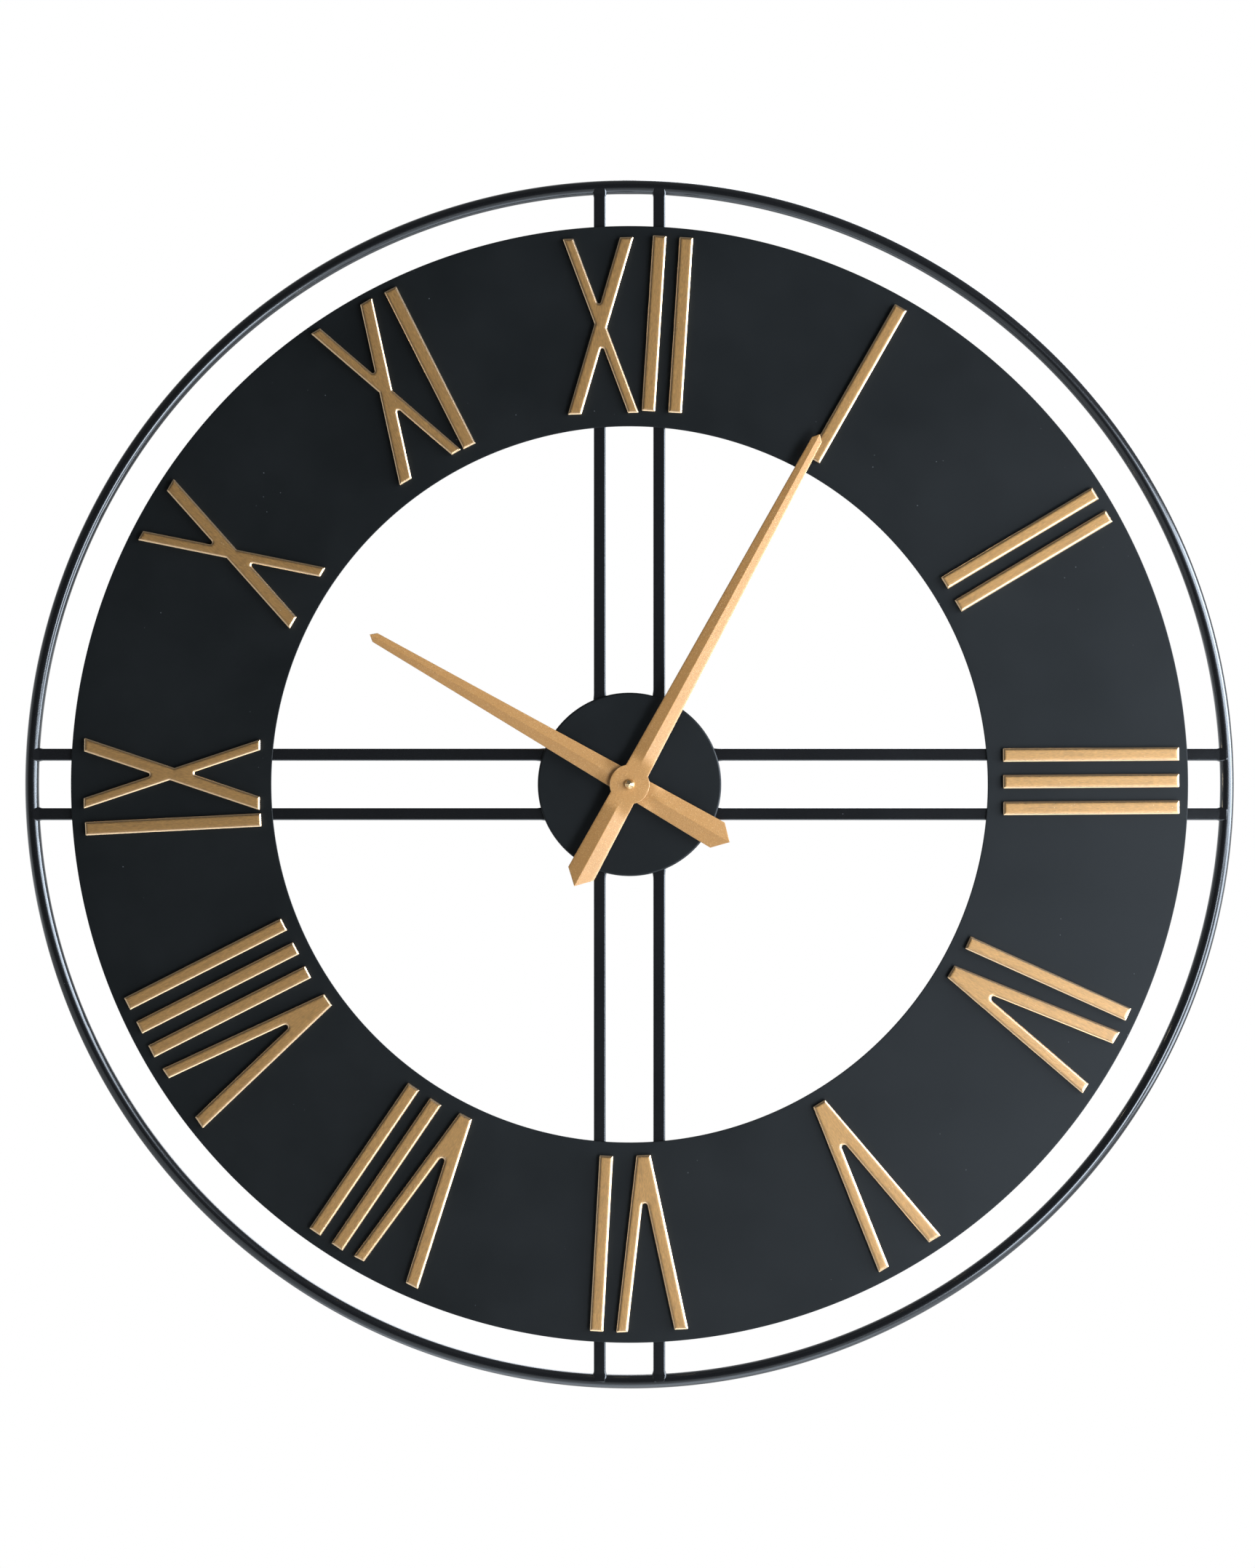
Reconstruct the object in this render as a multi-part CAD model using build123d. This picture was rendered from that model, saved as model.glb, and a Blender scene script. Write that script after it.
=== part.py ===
from build123d import *
from math import atan2, cos, degrees, radians, sin
import os

# Skeleton wall clock: a round-rod ring, a flat dial ring with raised Roman numerals, four pairs
# of square bars and a pressed hub cup that holds a battery quartz movement.
#
# Every piece is drawn face on: x to the right, y up, z out of the wall, in millimetres, with the
# hands' arbor on the z axis and the wall at z = 0. write() stands it up, so that in the finished
# part +Z is up, the clock looks towards -Y and the wall is the plane Y = 0. Bearings are clock
# angles: degrees clockwise from twelve.

# ---- driving dimensions ----
OVERALL_DIA = 600.0
ROD_DIA = 7.0
BAR_SIDE = 6.0
BAR_CORNER = 0.7
BAR_SPACING = 29.5
BAR_PLANE = 14.4
DIAL_OUTER_R = 276.8
DIAL_INNER_R = 177.5
SHEET = 1.2
HUB_R = 45.5
HUB_EDGE = 1.0

NUMERAL_R = 228.0
NUMERAL_HEIGHT = 87.0
NUMERAL_RAISE = 3.5
NUMERAL_EDGE = 0.9
I_PITCH = 13.2
GLUE_LINE = 0.02

# bars of each letter: (foot x, head x, width), and the radius in its inner corners
LETTER_BARS = {
    "I": ((0.0, 0.0, 6.6),),
    "V": ((0.0, -14.4, 6.7), (0.7, 15.0, 5.6)),
    "X": ((-14.2, 14.2, 6.7), (14.9, -14.9, 5.2)),
}
CROTCH_R = {"I": 0.0, "V": 1.4, "X": 1.0}

# each numeral's groups of letters: (letters, bearing of the group, its lean from the radius, and
# how far outside NUMERAL_R its middle is)
NUMERALS = {
    1: (("I", 29.6, 0.1, 0.2),),
    2: (("II", 59.4, -0.2, 0.4),),
    3: (("III", 89.6, 0.0, 0.5),),
    4: (("I", 114.9, -0.7, 0.4), ("V", 120.4, 0.9, -0.4)),
    5: (("V", 149.2, -0.2, -0.8),),
    6: (("V", 177.7, -0.5, -0.8), ("I", 183.5, -0.3, -0.3)),
    7: (("V", 206.4, 0.7, -1.4), ("II", 213.6, 0.6, -0.7)),
    8: (("V", 234.7, 1.1, -1.1), ("III", 243.7, -0.6, -0.6)),
    9: (("I", 265.0, 2.1, -1.3), ("X", 271.3, -0.8, -1.5)),
    10: (("X", 300.1, 0.2, -0.4),),
    11: (("X", 328.2, 1.4, 0.8), ("I", 334.4, -1.2, 0.7)),
    12: (("X", 356.4, 1.9, -0.5), ("II", 4.7, -1.0, 0.6)),
}

# hands
MINUTE_BEARING = 28.5
HOUR_BEARING = 300.0
MINUTE_REACH = 196.8
HOUR_REACH = 148.3
TAIL_REACH = 57.2
TAIL_POINT = 7.0
TIP_POINT = 3.0
TAIL_WIDTH = 14.4
MINUTE_TIP_WIDTH = 5.5
HOUR_TIP_WIDTH = 5.0
HAND_SHEET = 0.6
FOLD_SLOPE = 0.17
BOSS_R = 9.8
BOSS_THICK = 1.3

# quartz movement
CASE_SIDE = 56.0
CASE_DEPTH = 16.6
CASE_CORNER = 4.0
CASE_WALL = 1.4
CASE_FRONT = 1.2
COVER_THICK = 1.4
GASKET_THICK = 1.0
THREAD_R = 3.95
THREAD_LENGTH = 5.8
HOUR_PIPE_R = 2.5
ARBOR_R = 1.5
RUNNING = 0.05
BATTERY_R = 7.25
BATTERY_LENGTH = 50.5
MODULE = 0.4
TRAIN_MODULE = 0.3
WHEEL_THICK = 0.8
PINION_THICK = 1.2
PIVOT_R = 0.4
POST_R = 0.75
ARBOR_SEAT_R = 1.0
ARBOR_FOOT_R = 0.7
MINUTE_NECK_R = 2.3
HOUR_NECK_R = 3.2
KNOB_R = 6.0
FLUTES = 24
STEM_R = 1.0
MAGNET_R = 1.9
MAGNET_LEVELS = (3.9, 5.7)
STATOR_THICK = 0.6
COIL_Y = 22.6
COIL_WINDOW = (-24.7, -12.8)
FLANGE = 0.8
BOARD_THICK = 1.0
NUT_FLATS = 11.0
BRIDGE_PILLARS = (Vector(15.2, -4.4), Vector(15.2, 20.5), Vector(-19.6, 7.4))
BOARD_PILLARS = (Vector(21, -6), Vector(21, 22))

# the case's partition, with the battery bay below it and the train above it
TRAIN_FLOOR = -10.4
BAY_CEILING = -11.4
COVER_EDGE = -10.9
THUMB_NOTCH_R = 8.0
BATTERY_Y = -19.0
CONTACT_X = 26.0

# teeth: cannon pinion, motion wheel and pinion, hour wheel, setting pinion, going train
CANNON, MOTION_WHEEL, MOTION_PINION, HOUR_WHEEL, SETTING = 10, 30, 8, 32, 12
CENTRE_WHEEL, TRAIN_WHEEL, TRAIN_PINION, FIFTH_PINION, ROTOR_PINION = 64, 60, 8, 10, 12

# ---- levels, measured out from the wall ----
CASE_INNER = CASE_DEPTH - CASE_FRONT
CUP_FLOOR = CASE_DEPTH + GASKET_THICK
CUP_FACE = CUP_FLOOR + SHEET
DIAL_BACK = BAR_PLANE + BAR_SIDE / 2
DIAL_FACE = DIAL_BACK + SHEET
WASHER_THICK = 0.5
NUT_THICK = 2.5
THREAD_END = CASE_DEPTH + THREAD_LENGTH
HOUR_HAND_BACK = 23.6
HOUR_PIPE_END = 24.8
MINUTE_HAND_BACK = 26.3
ARBOR_END = 29.2
HOUR_WHEEL_LEVEL = 13.9
MOTION_WHEEL_LEVEL = 12.6
CENTRE_WHEEL_LEVEL = 11.1
THIRD_WHEEL_LEVEL = 9.5
FOURTH_WHEEL_LEVEL = 7.9
FIFTH_WHEEL_LEVEL = 6.3
BRIDGE_LEVEL = 1.9
BRIDGE_THICK = 1.0
STATOR_LEVEL = 4.5
COIL_LEVEL = STATOR_LEVEL + STATOR_THICK / 2
BOARD_LEVEL = 3.2
BATTERY_LEVEL = BATTERY_R + 0.55

RING_R = (OVERALL_DIA - ROD_DIA) / 2
CENTRE = Vector(0, 0, 0)


def polar(radius, bearing):
    return Vector(radius * sin(radians(bearing)), radius * cos(radians(bearing)), 0)


def disc(radius, low, high, at=CENTRE):
    """A solid disc on the z axis through at, from level low to level high."""
    return Pos(at.X, at.Y, low) * Cylinder(
        radius, high - low, align=(Align.CENTER, Align.CENTER, Align.MIN)
    )


def ring(outer, inner, low, high, at=CENTRE):
    return disc(outer, low, high, at) - disc(inner, low - 1, high + 1, at)


def block(x, y, low, high):
    """A block that spans the pairs x and y, from level low to level high."""
    size = (x[1] - x[0], y[1] - y[0], high - low)
    return Pos(x[0], y[0], low) * Box(*size, align=(Align.MIN, Align.MIN, Align.MIN))


def turned(part, bearing):
    """Turns a piece drawn for twelve o'clock to a bearing."""
    return Rot(0, 0, -bearing) * part


def write(node, part):
    export_step(Plane.XZ * part, f"parts/{node}.step")


# ---- frame ----
def rim_rod():
    return Pos(0, 0, BAR_PLANE) * Torus(RING_R, ROD_DIA / 2)


def spoke(bearing, side):
    """One bar of a pair, butted to the cup's wall and to the inside of the ring."""
    inner, outer = HUB_R - 8, RING_R - 1.4
    section = Plane.XZ * RectangleRounded(BAR_SIDE, BAR_SIDE, BAR_CORNER)
    bar = Pos(side * BAR_SPACING / 2, inner, BAR_PLANE) * extrude(section, inner - outer)
    bar -= disc(HUB_R, 0, CUP_FACE + 5)
    bar -= rim_rod()
    return turned(bar, bearing)


def hub_cup():
    shell = disc(HUB_R, 0, CUP_FACE)
    shell = fillet(shell.edges().sort_by(Axis.Z)[-1], HUB_EDGE)
    shell -= disc(HUB_R - SHEET, -1, CUP_FLOOR)
    return shell - disc(THREAD_R + 0.15, 0, CUP_FACE + 1)


# ---- numerals ----
def letter(name):
    half = NUMERAL_HEIGHT / 2
    outline = Sketch()
    for foot, head, width in LETTER_BARS[name]:
        side = width / 2
        corners = (
            (foot - side, -half),
            (foot + side, -half),
            (head + side, half),
            (head - side, half),
        )
        outline += Polygon(*corners, align=None)
    inner = [v for v in outline.vertices() if abs(v.Y) < half - 0.1]
    if inner:
        outline = fillet(inner, CROTCH_R[name])
    raised = extrude(outline, NUMERAL_RAISE)
    return chamfer(raised.faces().sort_by(Axis.Z)[-1].edges(), NUMERAL_EDGE)


def numeral(hour):
    solids = []
    for letters, bearing, lean, further in NUMERALS[hour]:
        place = polar(NUMERAL_R + further, bearing)
        for index, name in enumerate(letters):
            across = (index - (len(letters) - 1) / 2) * I_PITCH
            piece = Pos(across, 0, DIAL_FACE + GLUE_LINE) * letter(name)
            solids.append(Pos(place.X, place.Y, 0) * turned(piece, bearing + lean))
    return Compound(children=solids)


# ---- hands ----
def hand(reach, tip_width, back, bearing, hole):
    """A tapered blade folded along its middle, with pointed ends and a flat round boss."""
    tail, tip = TAIL_POINT - TAIL_REACH, reach - TIP_POINT
    narrowing = (TAIL_WIDTH - tip_width) / 2 / (tip - tail)

    def half_width(y):
        return TAIL_WIDTH / 2 - narrowing * (y - tail)

    blade = Part()
    for side in (-1, 1):
        facet = Wire.make_polygon(
            (
                (0, -TAIL_REACH, FOLD_SLOPE * half_width(-TAIL_REACH)),
                (side * half_width(tail), tail, 0),
                (side * half_width(tip), tip, 0),
                (0, reach, FOLD_SLOPE * half_width(reach)),
            )
        )
        blade += extrude(Face(facet), HAND_SHEET, dir=(0, 0, 1))
    blade -= disc(BOSS_R, -1, 5)
    blade += ring(BOSS_R, hole, 0, BOSS_THICK)
    return Pos(0, 0, back) * turned(blade, bearing)


def hand_bush(bore, neck, flange, back, flange_thick):
    """A stepped bush whose neck fills the hand's hole and whose flange lies under it."""
    bush = disc(neck, back, back + BOSS_THICK) + disc(flange, back - flange_thick, back)
    return bush - disc(bore, back - 5, back + 5)


def cap_nut():
    seat = MINUTE_HAND_BACK + BOSS_THICK
    profile = Plane.XZ * Polyline(
        (0, seat),
        (2.45, seat),
        (2.45, seat + 1.1),
        (1.9, seat + 2.4),
        (0.9, seat + 3.3),
        (0, seat + 3.4),
        close=True,
    )
    return revolve(make_face(profile), Axis.Z) - disc(ARBOR_R, seat - 1, ARBOR_END + 0.2)


# ---- wheels of the movement ----
def outline_of_teeth(teeth, module, phase):
    """Straight-flanked teeth with free play, one of them centred on the angle phase, degrees."""
    pitch = 360 / teeth
    root, tip = module * (teeth / 2 - 1.15), module * (teeth / 2 + 0.85)
    corners = []
    for tooth in range(teeth):
        for radius, share in ((root, -0.27), (tip, -0.12), (tip, 0.12), (root, 0.27)):
            angle = radians(phase + (tooth + share) * pitch)
            corners.append((radius * cos(angle), radius * sin(angle)))
    return Polygon(*corners, align=None)


def gear(teeth, module, phase, level, thick, at=CENTRE):
    return Pos(at.X, at.Y, level) * extrude(outline_of_teeth(teeth, module, phase), thick)


def distance(teeth_a, teeth_b, module):
    return module * (teeth_a + teeth_b) / 2


def meshed(phase_a, teeth_a, teeth_b, line):
    """The phase that puts a gap of wheel b on a tooth of wheel a, with b along line from a."""
    turns_to_line = (line - phase_a) / (360 / teeth_a)
    return line + 180 - (360 / teeth_b) * (0.5 - turns_to_line)


def line_between(a, b):
    return degrees(atan2(b.Y - a.Y, b.X - a.X))


# where the arbors stand: motion work, setting stem, third, fourth and fifth wheels, rotor
MOTION = polar(distance(CANNON, MOTION_WHEEL, MODULE), 285)
STEM = MOTION + polar(distance(MOTION_WHEEL, SETTING, MODULE), 250)
THIRD = polar(distance(CENTRE_WHEEL, TRAIN_PINION, TRAIN_MODULE), 60)
FOURTH = THIRD + polar(distance(TRAIN_WHEEL, TRAIN_PINION, TRAIN_MODULE), -20)
FIFTH = FOURTH + polar(distance(TRAIN_WHEEL, FIFTH_PINION, TRAIN_MODULE), -95)
ROTOR = FIFTH + polar(distance(TRAIN_WHEEL, ROTOR_PINION, TRAIN_MODULE), -100)

# a pinion overlaps its wheel's level by this much at each side, and spans one stage of the train
MESH_DEPTH = (PINION_THICK - WHEEL_THICK) / 2
STAGE = FOURTH_WHEEL_LEVEL - FIFTH_WHEEL_LEVEL
TRAIN_PINION_LENGTH = STAGE + WHEEL_THICK / 2 - 0.1
TRAIN_ARBORS = (
    (THIRD, THIRD_WHEEL_LEVEL),
    (FOURTH, FOURTH_WHEEL_LEVEL),
    (FIFTH, FIFTH_WHEEL_LEVEL),
)


def motion_phase():
    return meshed(0, CANNON, MOTION_WHEEL, line_between(CENTRE, MOTION))


def minute_arbor():
    """The hands' arbor with the cannon pinion, from the bridge to the cap nut's thread."""
    arbor = disc(ARBOR_SEAT_R, CENTRE_WHEEL_LEVEL - 0.8, CENTRE_WHEEL_LEVEL + 1)
    arbor += disc(ARBOR_FOOT_R, BRIDGE_LEVEL + 0.2, CENTRE_WHEEL_LEVEL)
    arbor += disc(ARBOR_R, CENTRE_WHEEL_LEVEL + 1, ARBOR_END)
    return arbor + gear(CANNON, MODULE, 0, MOTION_WHEEL_LEVEL - MESH_DEPTH, PINION_THICK)


def motion_wheel():
    pinion_base = MOTION_WHEEL_LEVEL + WHEEL_THICK
    wheel = gear(MOTION_WHEEL, MODULE, motion_phase(), MOTION_WHEEL_LEVEL, WHEEL_THICK, MOTION)
    wheel += gear(MOTION_PINION, MODULE, 0, pinion_base, 1.7, MOTION)
    return wheel - disc(POST_R + RUNNING, 0, CASE_DEPTH, MOTION)


def hour_wheel():
    phase = meshed(0, MOTION_PINION, HOUR_WHEEL, line_between(MOTION, CENTRE))
    wheel = gear(HOUR_WHEEL, MODULE, phase, HOUR_WHEEL_LEVEL, 1.0)
    wheel += disc(HOUR_PIPE_R, HOUR_WHEEL_LEVEL, HOUR_PIPE_END)
    return wheel - disc(ARBOR_R + RUNNING, 0, HOUR_PIPE_END + 1)


def setting_knob():
    """The fluted knob on the back, its stem and the pinion that turns the motion wheel."""
    phase = meshed(motion_phase(), MOTION_WHEEL, SETTING, line_between(MOTION, STEM))
    knob = disc(KNOB_R, 0.3, 2.1, STEM)
    for flute in range(FLUTES):
        knob -= disc(0.5, 0, 3, STEM + polar(KNOB_R + 0.2, flute * 360 / FLUTES))
    knob += disc(STEM_R, 2.0, CASE_INNER - 0.3, STEM)
    return knob + gear(SETTING, MODULE, phase, MOTION_WHEEL_LEVEL - MESH_DEPTH, PINION_THICK, STEM)


def centre_wheel():
    """The last wheel of the going train, a friction fit on the minute arbor."""
    wheel = gear(CENTRE_WHEEL, TRAIN_MODULE, 0, CENTRE_WHEEL_LEVEL, WHEEL_THICK)
    return wheel - disc(ARBOR_SEAT_R + RUNNING, 0, CASE_DEPTH)


def train_wheel(place, level, pinion_teeth, wheel_phase, pinion_phase):
    """A wheel and the pinion in front of it, on an arbor with a pivot at each end."""
    pinion_base = level + WHEEL_THICK
    wheel = gear(TRAIN_WHEEL, TRAIN_MODULE, wheel_phase, level, WHEEL_THICK, place)
    wheel += gear(pinion_teeth, TRAIN_MODULE, pinion_phase, pinion_base, TRAIN_PINION_LENGTH, place)
    wheel += disc(ARBOR_FOOT_R, BRIDGE_LEVEL + BRIDGE_THICK + 0.2, level, place)
    return wheel + disc(PIVOT_R, BRIDGE_LEVEL + 0.2, pivot_end(level), place)


def pivot_end(level):
    return level + WHEEL_THICK + TRAIN_PINION_LENGTH + 0.8


def rotor_pinion():
    """The rotor's pinion, its arbor and its pivots."""
    base, top = MAGNET_LEVELS[1], FIFTH_WHEEL_LEVEL + WHEEL_THICK + MESH_DEPTH
    phase = meshed(0, TRAIN_WHEEL, ROTOR_PINION, line_between(FIFTH, ROTOR))
    rotor = gear(ROTOR_PINION, TRAIN_MODULE, phase, base, top - base, ROTOR)
    rotor += disc(PIVOT_R, BRIDGE_LEVEL + 0.2, top + 0.8, ROTOR)
    return rotor


def rotor_magnet():
    return ring(MAGNET_R, PIVOT_R, *MAGNET_LEVELS, ROTOR)


# ---- movement's case ----
def case_outline(height):
    return extrude(RectangleRounded(CASE_SIDE, CASE_SIDE, CASE_CORNER), height)


def bearing_boss(place, end):
    """A boss on the case's front wall, with a blind hole for a pivot that ends at level end."""
    boss = disc(1.4, end - 0.6, CASE_INNER, place)
    return boss - disc(PIVOT_R + RUNNING, end - 1, end + 0.1, place)


def front_case():
    inner = CASE_SIDE / 2 - CASE_WALL
    case = case_outline(CASE_DEPTH)
    case -= block((-inner, inner), (TRAIN_FLOOR, inner), -1, CASE_INNER)
    case -= block((-inner, inner), (-inner, BAY_CEILING), -1, CASE_INNER)
    case -= block((-CASE_SIDE, CASE_SIDE), (COVER_EDGE, CASE_SIDE), -1, COVER_THICK)
    case -= Pos(0, -CASE_SIDE / 2, 0) * Rot(90, 0, 0) * Cylinder(THUMB_NOTCH_R, 3 * CASE_WALL)
    case -= block((CONTACT_X - 0.1, inner), (BAY_CEILING - 1, TRAIN_FLOOR + 1), 3, 5)

    for place, level in TRAIN_ARBORS:
        case += bearing_boss(place, pivot_end(level))
    case += bearing_boss(ROTOR, FIFTH_WHEEL_LEVEL + WHEEL_THICK + MESH_DEPTH + 0.8)
    case += disc(POST_R, MOTION_WHEEL_LEVEL - 0.2, CASE_INNER, MOTION)
    for place in BRIDGE_PILLARS:
        case += disc(1.2, BRIDGE_LEVEL + BRIDGE_THICK, CASE_INNER, place)
        case += disc(0.6, BRIDGE_LEVEL, BRIDGE_LEVEL + BRIDGE_THICK + 1, place)
    for place in BOARD_PILLARS:
        case += disc(1.4, BOARD_LEVEL + BOARD_THICK, CASE_INNER, place)

    case += disc(THREAD_R, CASE_DEPTH - 0.5, THREAD_END)
    return case - disc(HOUR_PIPE_R + RUNNING, CASE_INNER - 1, THREAD_END + 1)


def rear_cover():
    """The train's cover, with a lip that snaps inside the case and a well for the knob."""
    inner = CASE_SIDE / 2 - CASE_WALL - 0.1
    cover = case_outline(COVER_THICK)
    cover &= block((-CASE_SIDE, CASE_SIDE), (COVER_EDGE, CASE_SIDE), -1, COVER_THICK + 1)
    lip = block((-inner, inner), (TRAIN_FLOOR + 0.1, inner), COVER_THICK, COVER_THICK + 1.2)
    lip -= block((0.8 - inner, inner - 0.8), (TRAIN_FLOOR + 0.9, inner - 0.8), 0, CASE_DEPTH)
    cover += lip
    cover += disc(KNOB_R + 1.4, 0, COVER_THICK + 2, STEM)
    cover -= disc(KNOB_R + 0.6, -1, COVER_THICK + 1, STEM)
    return cover - disc(STEM_R + RUNNING, 0, CASE_DEPTH, STEM)


def train_bridge():
    low, high = BRIDGE_LEVEL, BRIDGE_LEVEL + BRIDGE_THICK
    bridge = block((-21, 16.6), (9.5, 19), low, high)
    bridge += block((-5, 16.6), (-5.8, 9.5), low, high)
    bridge += block((-21, -18.4), (6.2, 10), low, high)
    bridge += block((13.5, 16.6), (19, 22), low, high)
    for place in (THIRD, FOURTH, FIFTH, ROTOR):
        bridge -= disc(PIVOT_R + RUNNING, 0, 5, place)
    bridge -= disc(ARBOR_FOOT_R + RUNNING, 0, 5)
    for place in BRIDGE_PILLARS:
        bridge -= disc(0.65, 0, 5, place)
    return bridge


# ---- motor and electrics ----
def stator():
    """One lamination: a field plate round the rotor and the core that runs through the coil."""
    plate = block((-26, -10.8), (8.6, COIL_Y + 1), STATOR_LEVEL, STATOR_LEVEL + STATOR_THICK)
    plate -= block(COIL_WINDOW, (16.2, COIL_Y - 1), 0, 10)
    return plate - disc(MAGNET_R + 0.4, 0, 10, ROTOR)


def along_coil(radius, x):
    """A disc whose axis is the coil's, between the pair x."""
    rod = Cylinder(radius, x[1] - x[0], align=(Align.CENTER, Align.CENTER, Align.MIN))
    return Pos(x[0], COIL_Y, COIL_LEVEL) * Rot(0, 90, 0) * rod


def coil_core(margin):
    return block(
        (-27, -9),
        (COIL_Y - 1 - margin, COIL_Y + 1 + margin),
        STATOR_LEVEL - margin,
        STATOR_LEVEL + STATOR_THICK + margin,
    )


def coil_bobbin():
    left, right = COIL_WINDOW[0] + 0.1, COIL_WINDOW[1] - 0.1
    barrel = coil_core(0.5) & block((left, right), (0, 30), 0, 10)
    flanges = along_coil(3.0, (left, left + FLANGE)) + along_coil(3.0, (right - FLANGE, right))
    return barrel + flanges - coil_core(0)


def coil_winding():
    left, right = COIL_WINDOW[0] + 0.1 + FLANGE, COIL_WINDOW[1] - 0.1 - FLANGE
    return along_coil(2.7, (left, right)) - coil_core(0.5)


def circuit_board():
    return block((17, 25.4), (-9, 25.2), BOARD_LEVEL, BOARD_LEVEL + BOARD_THICK)


def driver_chip():
    chip = disc(2.6, BOARD_LEVEL + BOARD_THICK, BOARD_LEVEL + BOARD_THICK + 1.2, Vector(21.2, 8))
    return fillet(chip.edges().sort_by(Axis.Z)[-1], 0.9)


def quartz_crystal():
    """The tuning fork's can, which lies along the board, with its two leads."""
    level = BOARD_LEVEL + BOARD_THICK
    can = Pos(19.5, 17, level + 1) * Rot(90, 0, 0) * Cylinder(1.0, 6)
    for x in (19.2, 19.8):
        can += block((x - 0.1, x + 0.1), (11.6, 14.1), level, level + 1.1)
    return can


def contact(side, nose_r):
    """A plate at one end of the bay, with a sprung nose that bears on the battery."""
    plate = block((CONTACT_X, CONTACT_X + 0.6), (-23.5, -14.5), 3, 13)
    if side > 0:
        plate += block((CONTACT_X, CONTACT_X + 0.6), (-14.5, -7.5), 3.2, 4.8)
    nose = Pos(CONTACT_X, BATTERY_Y, BATTERY_LEVEL) * Rot(0, -90, 0)
    plate += nose * Cone(nose_r, nose_r / 2, 0.6, align=(Align.CENTER, Align.CENTER, Align.MIN))
    return plate if side > 0 else mirror(plate, about=Plane.YZ)


def battery():
    """An AA cell, positive end to the right."""
    along = Pos(-BATTERY_LENGTH / 2, BATTERY_Y, BATTERY_LEVEL) * Rot(0, 90, 0)
    low = (Align.CENTER, Align.CENTER, Align.MIN)
    cell = Cylinder(BATTERY_R, BATTERY_LENGTH - 1, align=low)
    cell = fillet(cell.edges().filter_by(GeomType.CIRCLE), 0.6)
    return along * (cell + Cylinder(2.75, BATTERY_LENGTH, align=low))


# ---- fixing hardware ----
def fixing_nut():
    base = CUP_FACE + WASHER_THICK
    return Pos(0, 0, base) * extrude(
        RegularPolygon(NUT_FLATS / 2, 6, major_radius=False), NUT_THICK
    ) - disc(THREAD_R, base - 1, base + 5)


os.makedirs("parts", exist_ok=True)

write("outer_ring", rim_rod())
SPOKES = {
    "spoke_top_left": (0, -1),
    "spoke_top_right": (0, 1),
    "spoke_right_upper": (90, -1),
    "spoke_right_lower": (90, 1),
    "spoke_bottom_right": (180, -1),
    "spoke_bottom_left": (180, 1),
    "spoke_left_lower": (270, -1),
    "spoke_left_upper": (270, 1),
}
for name, (bearing, side) in SPOKES.items():
    write(name, spoke(bearing, side))
write("dial_ring", ring(DIAL_OUTER_R, DIAL_INNER_R, DIAL_BACK, DIAL_FACE))
write("hub_cup", hub_cup())
for hour in NUMERALS:
    write(f"numeral_{hour}", numeral(hour))

write("rubber_gasket", ring(12.0, THREAD_R + 0.15, CASE_DEPTH, CUP_FLOOR))
write("dial_washer", ring(7.0, THREAD_R + 0.1, CUP_FACE, CUP_FACE + WASHER_THICK))
write("fixing_nut", fixing_nut())

write(
    "minute_hand",
    hand(MINUTE_REACH, MINUTE_TIP_WIDTH, MINUTE_HAND_BACK, MINUTE_BEARING, MINUTE_NECK_R),
)
write("minute_hand_bush", hand_bush(ARBOR_R, MINUTE_NECK_R, 3.4, MINUTE_HAND_BACK, 0.9))
write(
    "hour_hand",
    hand(HOUR_REACH, HOUR_TIP_WIDTH, HOUR_HAND_BACK, HOUR_BEARING, HOUR_NECK_R),
)
write("hour_hand_bush", hand_bush(HOUR_PIPE_R, HOUR_NECK_R, 4.2, HOUR_HAND_BACK, 0.8))
write("cap_nut", cap_nut())

write("front_case", front_case())
write("rear_cover", rear_cover())
write("train_bridge", train_bridge())
write("minute_arbor", minute_arbor())
write("motion_wheel", motion_wheel())
write("hour_wheel", hour_wheel())
write("setting_knob", setting_knob())
write("centre_wheel", centre_wheel())
third_pinion = meshed(0, CENTRE_WHEEL, TRAIN_PINION, line_between(CENTRE, THIRD))
fourth_pinion = meshed(0, TRAIN_WHEEL, TRAIN_PINION, line_between(THIRD, FOURTH))
fifth_pinion = meshed(0, TRAIN_WHEEL, FIFTH_PINION, line_between(FOURTH, FIFTH))
write("third_wheel", train_wheel(THIRD, THIRD_WHEEL_LEVEL, TRAIN_PINION, 0, third_pinion))
write("fourth_wheel", train_wheel(FOURTH, FOURTH_WHEEL_LEVEL, TRAIN_PINION, 0, fourth_pinion))
write("fifth_wheel", train_wheel(FIFTH, FIFTH_WHEEL_LEVEL, FIFTH_PINION, 0, fifth_pinion))
write("rotor_pinion", rotor_pinion())
write("rotor_magnet", rotor_magnet())
write("stator", stator())
write("coil_bobbin", coil_bobbin())
write("coil_winding", coil_winding())
write("circuit_board", circuit_board())
write("driver_chip", driver_chip())
write("quartz_crystal", quartz_crystal())
write("contact_positive", contact(1, 2.0))
write("contact_negative", contact(-1, 4.0))
write("battery", battery())
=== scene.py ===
import random
from math import cos, pi, radians, sin, sqrt, tan

import bmesh
import bpy
from mathutils import Matrix, Vector, noise


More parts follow.
